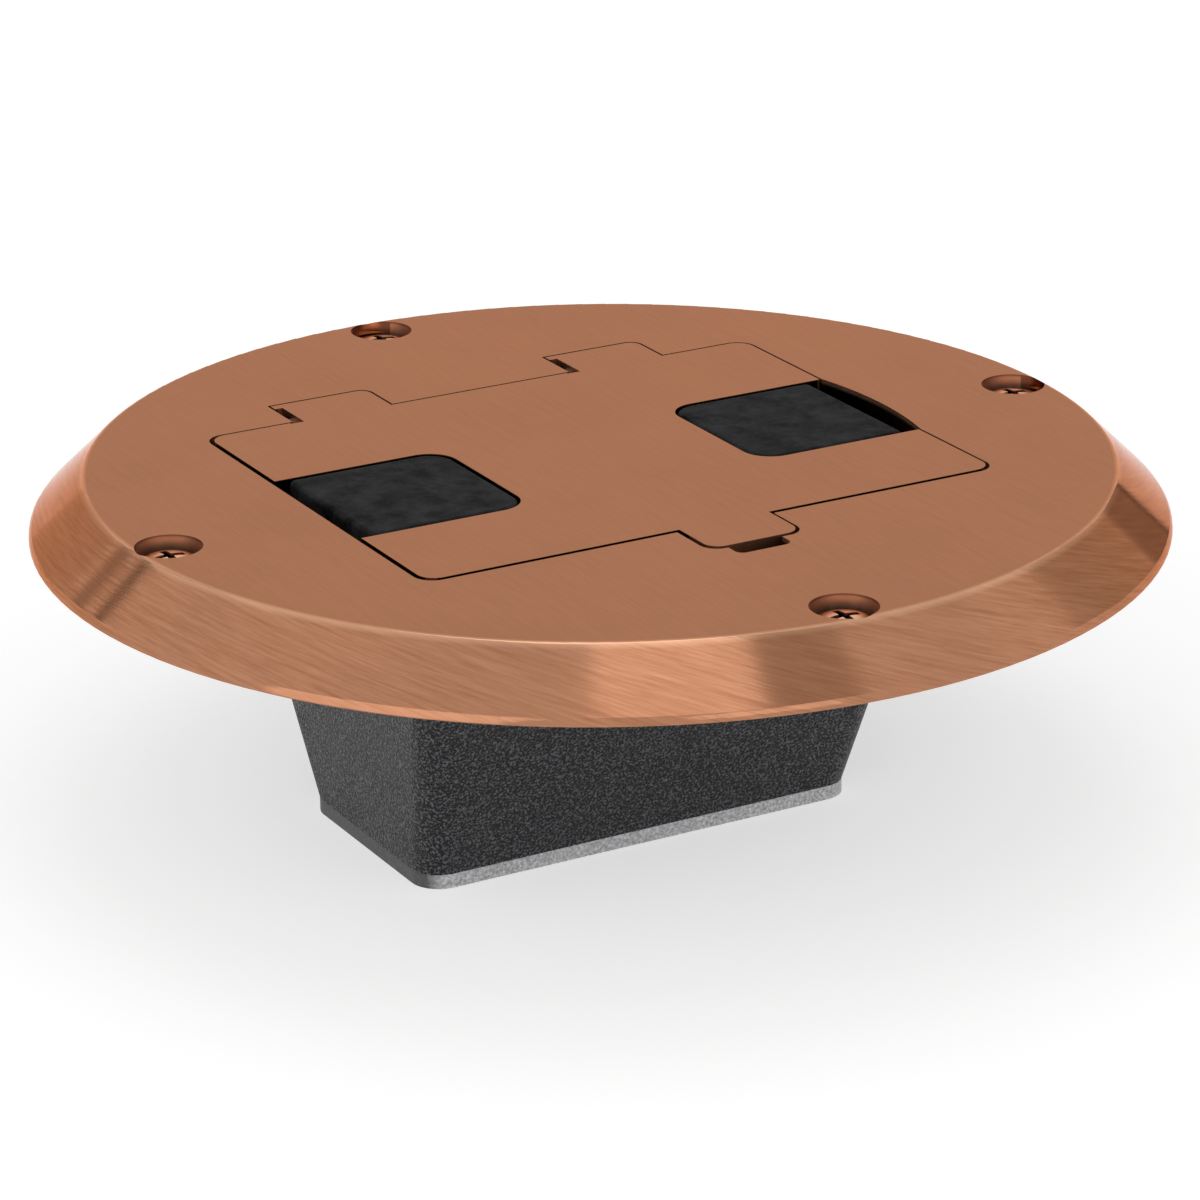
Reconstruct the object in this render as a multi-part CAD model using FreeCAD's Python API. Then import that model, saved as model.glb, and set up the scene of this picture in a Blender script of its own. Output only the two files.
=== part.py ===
import FreeCAD, Part
import math
import os

# Floor socket box: round cast cover with a hinged lid and two cord doors, over a tapered box
# that holds a duplex receptacle.
# Units are mm. +Z is up, and the lid's hinge is at the rear, +Y.
# Heights below are from the cover's flat top face.
# Each piece is lifted by the cover's height as it is exported, so the floor that the rim lies on is z = 0.

os.makedirs("parts", exist_ok=True)
V = FreeCAD.Vector

# ---- clearances
LID_GAP = 0.4
LID_SLACK = 0.5
DOOR_GAP = 0.4
SEAT_GAP = 0.05
PIN_CLEAR = 0.05
SCREW_CLEAR = 0.3
THREAD_CLEAR = 0.05
FIT_STEP = 0.2
OVER = 1.0
FAR = 240.0

# ---- cover flange
RIM_R = 92.0
BEVEL_W = 9.1
FLAT_R = RIM_R - BEVEL_W
FLANGE_H = 9.6
RIM_LAND = 0.8
RIM_EDGE_Z = -FLANGE_H + RIM_LAND
TOP_EDGE_R = 0.9
RIM_EDGE_R = 1.6
RIM_WALL = 8.0
RIM_INNER_R = RIM_R - RIM_WALL
PLATE_T = 5.0
SKIRT_T = 2.0
SKIRT_Z = -PLATE_T - SKIRT_T
SKIRT_W = 8.0
COUNTERBORE_R = 5.3
SCREW_PITCH_R = FLAT_R - COUNTERBORE_R + 0.2
COUNTERBORE_DEPTH = 3.8
COVER_SCREW_ANGLES = (-2.6, 90.0, 182.6, 268.1)
COVER_SCREW_R = 2.4
COVER_HEAD_R = 4.7
COVER_HEAD_H = 2.4
COVER_SCREW_L = 9.4
BOSS_R = 6.6
RIB_W = 3.0

# ---- lid
LID_X = 51.2
LID_FRONT = -37.4
LID_REAR = 40.2
LID_T = 4.0
LID_CORNER_R = 3.0
REAR_UNDERCUT_DEG = 15.0
TONGUE_X = 8.3
TONGUE_CX = 1.0
TONGUE_FRONT = -47.2
TONGUE_CORNER_R = 2.6
KNUCKLE_IN = 17.2
KNUCKLE_OUT = 34.9
KNUCKLE_R = 5.1
KNUCKLE_END_R = 1.8
RELIEF_W = 1.4
UNDER_RIB_W = 2.6

# ---- hinge
PIN_Y = LID_REAR + 5.0
PIN_Z = -2.4
PIN_R = 1.3
PIN_HALF = 41.0
GROOVE_CLEAR = 0.05
KEEPER_X = 13.0
KEEPER_T = 1.2
KEEPER_FORE = 3.4
KEEPER_AFT = 7.2
KEEPER_Y0 = PIN_Y - KEEPER_FORE
KEEPER_Y1 = PIN_Y + KEEPER_AFT
KEEPER_SCREW_X = 9.0
KEEPER_SCREW_Y = PIN_Y + 4.4
KEEPER_SCREW_R = 1.25
KEEPER_HEAD_R = 2.3
KEEPER_SCREW_L = 4.6
SLOT_RUN = 0.35
RELIEF_Y = PIN_Y + 2.8

# ---- ledge, gaskets
LEDGE_W = 3.4
GASKET_T = 0.8
LEDGE_Z = -LID_T - GASKET_T
LEDGE_CORNER_R = 4.0
SCALLOP = 1.7
SEAL_INSET = 2.5
SEAL_W = 4.0
SKIRT_REAR = PIN_Y + 11.8

# ---- finger notch
NOTCH_X = 4.8
NOTCH_CX = 0.4
NOTCH_REACH = 3.7
NOTCH_UNDER = 2.8
NOTCH_FRONT = TONGUE_FRONT - NOTCH_REACH
NOTCH_REAR = TONGUE_FRONT + NOTCH_UNDER
NOTCH_Z = -5.6
NOTCH_CORNER_R = 1.4
NOTCH_WALL = 4.1

# ---- cord openings and doors
OPEN_IN = 20.8
OPEN_Y = 15.3
OPEN_CORNER_R = 5.0
DOOR_OUT = LID_X - 2.6
DOOR_TIP_R = 1.2
DOOR_SKIN = 1.9
DOOR_RIM_W = 2.4
DOOR_T = 3.7
DOOR_EDGE_R = 0.8
DOOR_TAIL = 8.0
DOOR_PIN_X = OPEN_IN + DOOR_TAIL
DOOR_PIN_Z = -DOOR_T / 2.0
STUB_R = 1.2
STUB_L = 1.8
SHELF_IN = 1.2
SHELF_W = 3.0
SHELF_X0 = DOOR_PIN_X + DOOR_TAIL + 0.8
SHELF_X1 = DOOR_OUT - 1.6
SHELF_Z = -5.6

# ---- mounting ring
RING_R = RIM_INNER_R - 0.6
RING_T = 1.8
RING_TOP = SKIRT_Z - GASKET_T
COLLAR_R = 4.3
COLLAR_H = 2.6
FLOOR_HOLE_R = 2.4
FLOOR_HOLE_PITCH_R = RING_R - 9.4
SHELL_SCREW_R = 1.5
SHELL_HEAD_R = 2.9
SHELL_SCREW_L = 5.4

# ---- box shell
WALL = 2.5
TOP_X = 47.5
TOP_Y0 = -30.9
TOP_Y1 = 43.9
BOT_X = 40.2
BOT_Y0 = -13.9
BOT_Y1 = 28.2
SHELL_TOP = RING_TOP - RING_T
SHELL_BOT = -60.4
SHELL_R = 6.0
BASE_CORNER_R = 5.0
LIP_W = 6.0
SHELL_SCREW_Y = (TOP_Y0 + TOP_Y1) / 2.0
SHELL_SCREW_DY = 18.5
LIP_T = 2.4
BASE_T = 2.4
POST_H = 4.0
POST_R = 3.0
BASE_SCREW_R = 1.25
BASE_HEAD_R = 2.4
BASE_SCREW_INSET_X = 6.9
BASE_SCREW_INSET_Y = 5.85

# ---- cable entry
ENTRY_X = -16.0
ENTRY_Z = SHELL_BOT + 17.9
ENTRY_BOSS_R = 13.6
ENTRY_FACE_Y = TOP_Y1 - 1.9
ENTRY_R = 11.1
ENTRY_ROOT = 18.0
BUSH_BORE_R = 8.0
BUSH_HEAD_R = 13.0
BUSH_HEAD_T = 1.6
BUSH_L = 8.0

# ---- device plate and receptacle
DEV_Y = (TOP_Y0 + TOP_Y1) / 2.0 + 0.3
DEV_T = 1.5
DEV_X = TOP_X - 10.1
DEV_HALF_Y = (TOP_Y1 - TOP_Y0) / 2.0 - 12.2
DEV_CORNER_R = 5.0
DEV_SCREW_X = DEV_X - 4.9
DEV_SCREW_Y = DEV_HALF_Y - 4.4
DEV_SCREW_R = 1.5
DEV_HEAD_R = 2.9
DEV_HEAD_H = 1.9
DEV_SCREW_L = 9.4
DEV_POST_R = 3.2
DEV_POST_H = 12.0
OUTLET_X = 19.05
OUTLET_R = 17.2
OUTLET_HALF = 14.2
OUTLET_RISE = 2.6
FACE_T = 3.0
BODY_X = 34.0
BODY_Y = 16.0
BODY_H = 17.5
BODY_WALL = 2.0
BODY_CORNER_R = 2.0
UNDER_SPACE = 4.4
DEV_TOP = SHELL_BOT + UNDER_SPACE + BODY_H + FACE_T + DEV_T
CENTRE_SCREW_R = 1.75
CENTRE_HEAD_R = 3.2
CENTRE_HEAD_H = 1.8
COLUMN_HALF = 4.0
BLADE_Y = 6.35
BLADE_L = 8.0
BLADE_W = 1.8
BLADE_DX = 3.0
GROUND_DX = 8.6
GROUND_R = 2.45
STRIP_T = 0.8
LEAF_GAP = 0.8
LEAF_L = 9.0
RAIL_HALF = 1.8
TAB_X = 10.0
TAB_HALF = 4.6
TAB_H = 8.0
TERM_R = 1.6
TERM_HEAD_R = 3.3
TERM_HEAD_H = 2.0
TERM_SLOT = 0.8
STRAP_HALF = 5.0
STRAP_T = 1.0
TUBE_R = 3.1
TUBE_BORE_R = 2.4


def box(x0, x1, y0, y1, z0, z1):
    return Part.makeBox(x1 - x0, y1 - y0, z1 - z0, V(x0, y0, z0))


def cyl(r, x, y, z0, z1):
    return Part.makeCylinder(r, z1 - z0, V(x, y, z0), V(0, 0, 1))


def cyl_y(r, x, z, y0, y1):
    return Part.makeCylinder(r, y1 - y0, V(x, y0, z), V(0, 1, 0))


def cyl_x(r, y, z, x0, x1):
    return Part.makeCylinder(r, x1 - x0, V(x0, y, z), V(1, 0, 0))


def round_end(rod, x, r):
    # Eases the edge of a rod along X at its end x.
    ends = [e for e in rod.Edges if abs(e.BoundBox.XMin - x) < 0.001 and abs(e.BoundBox.XMax - x) < 0.001]
    return rod.makeFillet(r, ends)


def rounded_wire(x0, x1, y0, y1, r, z):
    c = math.sqrt(0.5)
    arcs = []
    corners = (
        (x1 - r, y1 - r, 1, 1),
        (x0 + r, y1 - r, -1, 1),
        (x0 + r, y0 + r, -1, -1),
        (x1 - r, y0 + r, 1, -1),
    )
    for cx, cy, sx, sy in corners:
        first = V(cx + r * sx, cy, z)
        last = V(cx, cy + r * sy, z)
        if sx * sy < 0:
            first, last = last, first
        arcs.append((first, V(cx + r * c * sx, cy + r * c * sy, z), last))
    edges = []
    for i, a in enumerate(arcs):
        edges.append(Part.Arc(*a).toShape())
        edges.append(Part.LineSegment(a[2], arcs[(i + 1) % 4][0]).toShape())
    return Part.Wire(edges)


def rounded_block(x0, x1, y0, y1, r, z0, z1):
    face = Part.Face(rounded_wire(x0, x1, y0, y1, r, z0))
    return face.extrude(V(0, 0, z1 - z0))


def frustum(x0, x1, y0, y1, r, z_top, bx0, bx1, by0, by1, br, z_bot):
    top = rounded_wire(x0, x1, y0, y1, r, z_top)
    bottom = rounded_wire(bx0, bx1, by0, by1, br, z_bot)
    return Part.makeLoft([bottom, top], True, True)


def union(shapes):
    shape = shapes[0].fuse(shapes[1:])
    return shape.removeSplitter()


def cut(shape, tools):
    for tool in tools:
        shape = shape.cut(tool)
    return shape


def cross(x, y, z, half, width, depth):
    a = box(x - half, x + half, y - width / 2.0, y + width / 2.0, z - depth, z + OVER)
    b = box(x - width / 2.0, x + width / 2.0, y - half, y + half, z - depth, z + OVER)
    return a.fuse(b)


def pan_screw(x, y, seat_z, head_r, head_h, r, length):
    # Domed head above seat_z, shank below it, cross recess in the head.
    crown = head_h * 0.35
    ball = (head_r ** 2 + crown ** 2) / (2.0 * crown)
    head = cyl(head_r, x, y, seat_z, seat_z + head_h)
    dome = Part.makeSphere(ball, V(x, y, seat_z + head_h - ball))
    head = head.common(dome)
    shank = cyl(r, x, y, seat_z - length, seat_z)
    screw = head.fuse(shank).removeSplitter()
    return screw.cut(cross(x, y, seat_z + head_h, head_r * 0.55, head_r * 0.24, head_h * 0.6))


def flat_screw(x, y, top_z, head_r, r, length, direction):
    # Countersunk head flush with top_z. direction is -1 for a shank that goes down, 1 for one that goes up.
    depth = head_r - r
    cone = Part.makeCone(head_r, r, depth, V(x, y, top_z), V(0, 0, direction))
    shank = Part.makeCylinder(r, length, V(x, y, top_z), V(0, 0, direction))
    screw = cone.fuse(shank).removeSplitter()
    half = head_r * 0.55
    width = head_r * 0.24
    if direction < 0:
        return screw.cut(cross(x, y, top_z, half, width, depth * 0.8))
    a = box(x - half, x + half, y - width / 2.0, y + width / 2.0, top_z - OVER, top_z + depth * 0.8)
    b = box(x - width / 2.0, x + width / 2.0, y - half, y + half, top_z - OVER, top_z + depth * 0.8)
    return screw.cut(a.fuse(b))


def export(name, shape):
    if shape.ShapeType == "Compound" and len(shape.Solids) == 1:
        shape = shape.Solids[0]
    if not shape.isValid():
        print("NOT VALID", name)
    shape.translate(V(0, 0, FLANGE_H))
    shape.exportStep("parts/" + name + ".step")
    print(name, len(shape.Solids), round(shape.Volume, 1))


# ---- shared outlines
COVER_SCREWS = []
for degrees in COVER_SCREW_ANGLES:
    turn = math.radians(degrees)
    COVER_SCREWS.append((SCREW_PITCH_R * math.cos(turn), SCREW_PITCH_R * math.sin(turn)))
REC_X = LID_X + LID_GAP
REC_Y0 = LID_FRONT - LID_GAP
REC_Y1 = LID_REAR + LID_GAP
HOLE_X = REC_X - LEDGE_W
HOLE_Y0 = REC_Y0 + LEDGE_W
HOLE_Y1 = REC_Y1 - LEDGE_W
# Each knuckle spans (left, right). Its relief notch is on the left side.
KNUCKLES = [(-KNUCKLE_OUT, -KNUCKLE_IN), (KNUCKLE_IN, KNUCKLE_OUT)]
SCALLOP_R = (OPEN_Y ** 2 + SCALLOP ** 2) / (2.0 * SCALLOP)

# ---- flange: turned rim with a bevel, flat plate, skirt round the recess, bosses and ribs below
profile = Part.makePolygon([
    V(0, 0, 0),
    V(FLAT_R, 0, 0),
    V(RIM_R, 0, RIM_EDGE_Z),
    V(RIM_R, 0, -FLANGE_H),
    V(RIM_INNER_R, 0, -FLANGE_H),
    V(RIM_INNER_R, 0, -PLATE_T),
    V(0, 0, -PLATE_T),
    V(0, 0, 0),
])
disc = Part.Face(profile).revolve(V(0, 0, 0), V(0, 0, 1), 360)
top_edges = [e for e in disc.Edges if abs(e.BoundBox.ZMin) < 0.01 and e.BoundBox.XMax > FLAT_R - FIT_STEP]
disc = disc.makeFillet(TOP_EDGE_R, [e for e in top_edges if e.BoundBox.ZMax < 0.01])
rim_edges = []
for e in disc.Edges:
    if abs(e.BoundBox.ZMin - RIM_EDGE_Z) < 0.01 and abs(e.BoundBox.ZMax - RIM_EDGE_Z) < 0.01:
        rim_edges.append(e)
disc = disc.makeFillet(RIM_EDGE_R, rim_edges)

skirt = rounded_block(
    -HOLE_X - SKIRT_W, HOLE_X + SKIRT_W, HOLE_Y0 - SKIRT_W, SKIRT_REAR, SKIRT_W - OVER, SKIRT_Z, -PLATE_T,
)
pad_x = TONGUE_X + NOTCH_WALL
pad_y = NOTCH_FRONT - NOTCH_WALL
notch_pad = rounded_block(
    TONGUE_CX - pad_x, TONGUE_CX + pad_x, pad_y, HOLE_Y0, NOTCH_WALL - OVER, SKIRT_Z, -PLATE_T,
)
bosses = [cyl(BOSS_R, x, y, RING_TOP, -PLATE_T) for x, y in COVER_SCREWS]
rib = box(HOLE_X, RIM_INNER_R + OVER, -RIB_W / 2.0, RIB_W / 2.0, SKIRT_Z, -PLATE_T)
ribs = []
for angle in (45, 135, 225, 315):
    r = rib.copy()
    r.rotate(V(0, 0, 0), V(0, 0, 1), angle)
    ribs.append(r)
flange = union([disc, skirt, notch_pad] + bosses + ribs)

recess = rounded_block(-REC_X, REC_X, REC_Y0, REC_Y1, LID_CORNER_R + LID_GAP, LEDGE_Z, OVER)
well = rounded_block(-HOLE_X, HOLE_X, HOLE_Y0, HOLE_Y1, LEDGE_CORNER_R, -FAR, OVER)
flange = cut(flange, [recess, well])
# Shallow scallop in the right recess wall, beside the cord door.
arc = cyl(SCALLOP_R, REC_X + SCALLOP - SCALLOP_R, 0, LEDGE_Z, OVER)
flange = flange.cut(arc.common(box(0, FAR, -OPEN_Y, OPEN_Y, LEDGE_Z, OVER)))
# Front pocket for the finger tongue, and the notch before it.
pocket_x = TONGUE_X + LID_GAP
pocket = rounded_block(
    TONGUE_CX - pocket_x, TONGUE_CX + pocket_x, TONGUE_FRONT - LID_GAP, HOLE_Y0 + LEDGE_W,
    TONGUE_CORNER_R + LID_GAP, -LID_T - FIT_STEP, OVER,
)
flange = flange.cut(pocket)
notch = rounded_block(
    NOTCH_CX - NOTCH_X, NOTCH_CX + NOTCH_X, NOTCH_FRONT, NOTCH_REAR, NOTCH_CORNER_R, NOTCH_Z, OVER,
)
flange = flange.cut(notch)
# Rear slots for the knuckles: straight walls, and a round rear wall about the pin.
slots = []
for left, right in KNUCKLES:
    x0 = left - LID_GAP
    x1 = right + LID_GAP
    slot_r = KNUCKLE_R + SLOT_RUN
    slots.append(box(x0, x1, HOLE_Y1 - OVER, PIN_Y, -FAR, OVER))
    slots.append(round_end(cyl_x(slot_r, PIN_Y, PIN_Z, x0, x1), x1, KNUCKLE_END_R + SLOT_RUN))
    slots.append(box(x0, x1, PIN_Y - OVER, PIN_Y + slot_r, -FAR, PIN_Z))
    reach = math.sqrt(slot_r ** 2 - PIN_Z ** 2)
    end_r = KNUCKLE_END_R + SLOT_RUN
    slots.append(box(x0, x1 - end_r, PIN_Y - OVER, PIN_Y + reach, PIN_Z, OVER))
    slots.append(box(x0, x1, PIN_Y - OVER, PIN_Y + reach - end_r, PIN_Z, OVER))
    slots.append(cyl(end_r, x1 - end_r, PIN_Y + reach - end_r, PIN_Z, OVER))
flange = cut(flange, slots)
# Groove for the pin, open below, and a shallow seat for its keeper.
groove_r = PIN_R + GROOVE_CLEAR
groove_x = PIN_HALF + FIT_STEP
groove = cyl_x(groove_r, PIN_Y, PIN_Z, -groove_x, groove_x)
groove_leg = box(-groove_x, groove_x, PIN_Y - groove_r, PIN_Y + groove_r, -FAR, PIN_Z)
seat_x = KEEPER_X + FIT_STEP
keeper_seat = box(-seat_x, seat_x, KEEPER_Y0 - FIT_STEP, KEEPER_Y1 + FIT_STEP, -FAR, SKIRT_Z + KEEPER_T)
flange = cut(flange, [groove, groove_leg, keeper_seat])
for x in (-KEEPER_SCREW_X, KEEPER_SCREW_X):
    tap_top = SKIRT_Z + KEEPER_SCREW_L + FIT_STEP * 3.0
    flange = flange.cut(cyl(KEEPER_SCREW_R + THREAD_CLEAR, x, KEEPER_SCREW_Y, SKIRT_Z - OVER, tap_top))
for x, y in COVER_SCREWS:
    flange = flange.cut(cyl(COUNTERBORE_R, x, y, -COUNTERBORE_DEPTH, OVER))
    flange = flange.cut(cyl(COVER_SCREW_R + SCREW_CLEAR, x, y, -FAR, 0.0))
export("flange", flange)

# ---- cover screws: pan heads sunk in the counterbores
screws = []
for x, y in COVER_SCREWS:
    screw = pan_screw(x, y, -COUNTERBORE_DEPTH, COVER_HEAD_R, COVER_HEAD_H, COVER_SCREW_R, COVER_SCREW_L)
    screws.append(screw)
export("cover_screws", Part.makeCompound(screws))

# ---- mounting ring: steel disc with the box mouth, tapped collars and floor-screw holes
ring = cyl(RING_R, 0, 0, RING_TOP - RING_T, RING_TOP)
collars = [cyl(COLLAR_R, x, y, RING_TOP - RING_T - COLLAR_H, RING_TOP) for x, y in COVER_SCREWS]
ring = union([ring] + collars)
mouth = rounded_block(-TOP_X + WALL, TOP_X - WALL, TOP_Y0 + WALL, TOP_Y1 - WALL, SHELL_R - WALL, -FAR, 0.0)
ring = ring.cut(mouth)
for x, y in COVER_SCREWS:
    ring = ring.cut(cyl(COVER_SCREW_R + THREAD_CLEAR, x, y, -FAR, 0.0))
for k in range(4):
    a = math.radians(45 + 90 * k)
    x = FLOOR_HOLE_PITCH_R * math.cos(a)
    y = FLOOR_HOLE_PITCH_R * math.sin(a)
    ring = ring.cut(cyl(FLOOR_HOLE_R, x, y, -FAR, 0.0))
SHELL_SCREWS = []
for sx in (-1, 1):
    for sy in (-1, 1):
        SHELL_SCREWS.append((sx * (TOP_X + LIP_W / 2.0), SHELL_SCREW_Y + sy * SHELL_SCREW_DY))
sink = SHELL_HEAD_R - SHELL_SCREW_R
for x, y in SHELL_SCREWS:
    mouth_r = SHELL_HEAD_R + SEAT_GAP
    ring = ring.cut(Part.makeCone(mouth_r, SHELL_SCREW_R + SEAT_GAP, sink, V(x, y, RING_TOP), V(0, 0, -1)))
    ring = ring.cut(cyl(SHELL_SCREW_R + THREAD_CLEAR, x, y, -FAR, 0.0))
export("mounting_ring", ring)

# ---- gasket between the flange's skirt and the ring
seal_out = SEAL_INSET + SEAL_W
seal_back = SKIRT_REAR - 0.6
seal_x = HOLE_X + seal_out
seal_y = HOLE_Y0 - seal_out
gasket = rounded_block(-seal_x, seal_x, seal_y, seal_back, seal_out - 0.5, RING_TOP, SKIRT_Z)
clear_x = HOLE_X + SEAL_INSET
clear_y = HOLE_Y0 - SEAL_INSET
clear_back = seal_back - SEAL_W + 0.6
gasket = gasket.cut(rounded_block(-clear_x, clear_x, clear_y, clear_back, SEAL_INSET, -FAR, 0.0))
export("box_gasket", gasket)

# ---- gasket on the ledge under the lid, cut away at the knuckle slots
edge = FIT_STEP * 1.5
seal = rounded_block(
    -REC_X + edge, REC_X - edge, REC_Y0 + edge, REC_Y1 - edge, LID_CORNER_R, LEDGE_Z, -LID_T,
)
seal = seal.cut(rounded_block(
    -HOLE_X - FIT_STEP, HOLE_X + FIT_STEP, HOLE_Y0 - FIT_STEP, HOLE_Y1 + FIT_STEP, LEDGE_CORNER_R, -FAR, 0.0,
))
end_gap = LID_GAP * 2.0
for left, right in KNUCKLES:
    seal = seal.cut(box(left - end_gap, right + end_gap, HOLE_Y1 - OVER, REC_Y1 + OVER, -FAR, 0.0))
break_x = TONGUE_X + end_gap
seal = seal.cut(box(TONGUE_CX - break_x, TONGUE_CX + break_x, REC_Y0 - OVER, HOLE_Y0 + OVER, -FAR, 0.0))
export("lid_gasket", seal)

# ---- hinge pin, its keeper and the keeper's screws
export("hinge_pin", cyl_x(PIN_R, PIN_Y, PIN_Z, -PIN_HALF, PIN_HALF))
keeper = box(-KEEPER_X, KEEPER_X, KEEPER_Y0, KEEPER_Y1, SKIRT_Z, SKIRT_Z + KEEPER_T)
tongue = box(-KEEPER_X, KEEPER_X, PIN_Y - PIN_R, PIN_Y + PIN_R, SKIRT_Z, PIN_Z - PIN_R)
keeper = union([keeper, tongue])
for x in (-KEEPER_SCREW_X, KEEPER_SCREW_X):
    sink = KEEPER_HEAD_R - KEEPER_SCREW_R
    seat = V(x, KEEPER_SCREW_Y, SKIRT_Z)
    keeper = keeper.cut(cyl(KEEPER_SCREW_R + THREAD_CLEAR, x, KEEPER_SCREW_Y, -FAR, 0.0))
    sink_r = KEEPER_HEAD_R + SEAT_GAP
    keeper = keeper.cut(Part.makeCone(sink_r, KEEPER_SCREW_R + SEAT_GAP, sink, seat, V(0, 0, 1)))
export("pin_keeper", keeper)
screws = []
for x in (-KEEPER_SCREW_X, KEEPER_SCREW_X):
    screws.append(flat_screw(x, KEEPER_SCREW_Y, SKIRT_Z, KEEPER_HEAD_R, KEEPER_SCREW_R, KEEPER_SCREW_L, 1))
export("keeper_screws", Part.makeCompound(screws))

# ---- lid: plate with an undercut rear edge, finger tongue, knuckles and cord openings
lid_left = -LID_X + LID_SLACK
lid_front = LID_FRONT + LID_SLACK
plate = rounded_block(lid_left, LID_X, lid_front, LID_REAR, LID_CORNER_R, -LID_T, 0.0)
wedge_run = LID_T * math.tan(math.radians(REAR_UNDERCUT_DEG))
wedge = Part.Face(Part.makePolygon([
    V(-FAR, LID_REAR, 0),
    V(-FAR, LID_REAR - wedge_run, -LID_T),
    V(-FAR, LID_REAR + OVER, -LID_T),
    V(-FAR, LID_REAR + OVER, 0),
    V(-FAR, LID_REAR, 0),
])).extrude(V(FAR * 2.0, 0, 0))
plate = plate.cut(wedge)
finger_left = TONGUE_CX - TONGUE_X + LID_SLACK
finger_right = TONGUE_CX + TONGUE_X
finger_front = TONGUE_FRONT + LID_SLACK
finger = rounded_block(
    finger_left, finger_right, finger_front, LID_FRONT + TONGUE_X, TONGUE_CORNER_R, -LID_T, 0.0,
)
pieces = [plate, finger]
for left, right in KNUCKLES:
    arm = box(left, right, LID_REAR - LID_T, PIN_Y, -LID_T, 0.0)
    barrel = round_end(cyl_x(KNUCKLE_R, PIN_Y, PIN_Z, left, right), right, KNUCKLE_END_R)
    barrel = barrel.common(box(left, right, -FAR, FAR, -FAR, 0.0))
    pieces = pieces + [arm, barrel]
lid = union(pieces)
for left, right in KNUCKLES:
    lid = lid.cut(cyl_x(PIN_R + PIN_CLEAR, PIN_Y, PIN_Z, left - OVER, right + OVER))
    lid = lid.cut(box(left - OVER, left + RELIEF_W, LID_REAR - LID_GAP, RELIEF_Y, -FAR, OVER))
# Low ribs under the plate, and shelves that the cord doors rest on.
rib_y0 = OPEN_Y + UNDER_RIB_W
rib_y1 = OPEN_Y + UNDER_RIB_W * 2.0
rib_x0 = OPEN_IN - UNDER_RIB_W * 2.0
rib_x1 = OPEN_IN - UNDER_RIB_W
stiffeners = []
for sign in (-1, 1):
    ys = sorted((sign * rib_y0, sign * rib_y1))
    xs = sorted((sign * rib_x0, sign * rib_x1))
    stiffeners.append(box(-SHELF_X1, SHELF_X1, ys[0], ys[1], SHELF_Z, -LID_T))
    stiffeners.append(box(xs[0], xs[1], -rib_y0, rib_y0, SHELF_Z, -LID_T))
lid = union([lid] + stiffeners)
for side in (-1, 1):
    xs = sorted((side * OPEN_IN, side * FAR))
    lid = lid.cut(rounded_block(xs[0], xs[1], -OPEN_Y, OPEN_Y, OPEN_CORNER_R, -FAR, OVER))
shelves = []
for side in (-1, 1):
    for end in (-1, 1):
        xs = sorted((side * SHELF_X0, side * SHELF_X1))
        ys = sorted((end * (OPEN_Y - SHELF_IN), end * (OPEN_Y + SHELF_W)))
        shelf = box(xs[0], xs[1], ys[0], ys[1], SHELF_Z, -DOOR_T - SEAT_GAP)
        shelves.append(shelf)
lid = union([lid] + shelves)
for side in (-1, 1):
    stub_end = OPEN_Y + STUB_L + FIT_STEP
    lid = lid.cut(cyl_y(STUB_R + PIN_CLEAR, side * DOOR_PIN_X, DOOR_PIN_Z, -stub_end, stub_end))
export("lid", lid)

# ---- cord doors: moulded plates with stub axles, hollowed underneath, eased top edges
def cord_door(side):
    gap = DOOR_GAP
    inner = rounded_block(
        OPEN_IN + gap, DOOR_OUT, -OPEN_Y + gap, OPEN_Y - gap, OPEN_CORNER_R - gap, -DOOR_T, 0.0,
    )
    outer = rounded_block(DOOR_PIN_X, DOOR_OUT, -OPEN_Y + gap, OPEN_Y - gap, DOOR_TIP_R, -DOOR_T, 0.0)
    door = union([inner, outer])
    edges = [e for e in door.Edges if abs(e.BoundBox.ZMin) < 0.001 and abs(e.BoundBox.ZMax) < 0.001]
    door = door.makeFillet(DOOR_EDGE_R, edges)
    hollow_y = OPEN_Y - SHELF_IN - DOOR_RIM_W
    hollow_x0 = DOOR_PIN_X + STUB_R + DOOR_RIM_W
    hollow_x1 = DOOR_OUT - DOOR_RIM_W
    door = door.cut(rounded_block(hollow_x0, hollow_x1, -hollow_y, hollow_y, DOOR_TIP_R, -FAR, -DOOR_SKIN))
    stubs = cyl_y(STUB_R, DOOR_PIN_X, DOOR_PIN_Z, -OPEN_Y - STUB_L, OPEN_Y + STUB_L)
    door = union([door, stubs])
    if side < 0:
        door = door.mirror(V(0, 0, 0), V(1, 0, 0))
    return door


export("left_door", cord_door(-1))
export("right_door", cord_door(1))

# ---- box shell: tapered walls, hanging lip, cable boss, screw bosses
outer = frustum(
    -TOP_X, TOP_X, TOP_Y0, TOP_Y1, SHELL_R, SHELL_TOP,
    -BOT_X, BOT_X, BOT_Y0, BOT_Y1, BASE_CORNER_R, SHELL_BOT,
)
inner = frustum(
    -TOP_X + WALL, TOP_X - WALL, TOP_Y0 + WALL, TOP_Y1 - WALL, SHELL_R - WALL, SHELL_TOP,
    -BOT_X + WALL, BOT_X - WALL, BOT_Y0 + WALL, BOT_Y1 - WALL, BASE_CORNER_R - WALL, SHELL_BOT,
)
lip_x = TOP_X + LIP_W
lip = rounded_block(
    -lip_x, lip_x, TOP_Y0 - LIP_W, TOP_Y1 + LIP_W, SHELL_R + LIP_W / 2.0, SHELL_TOP - LIP_T, SHELL_TOP,
)
entry = cyl_y(ENTRY_BOSS_R, ENTRY_X, ENTRY_Z, ENTRY_FACE_Y - ENTRY_ROOT, ENTRY_FACE_Y)
shell = union([outer, lip, entry])
shell = shell.cut(inner)
DEV_BOT = DEV_TOP - DEV_T
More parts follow.
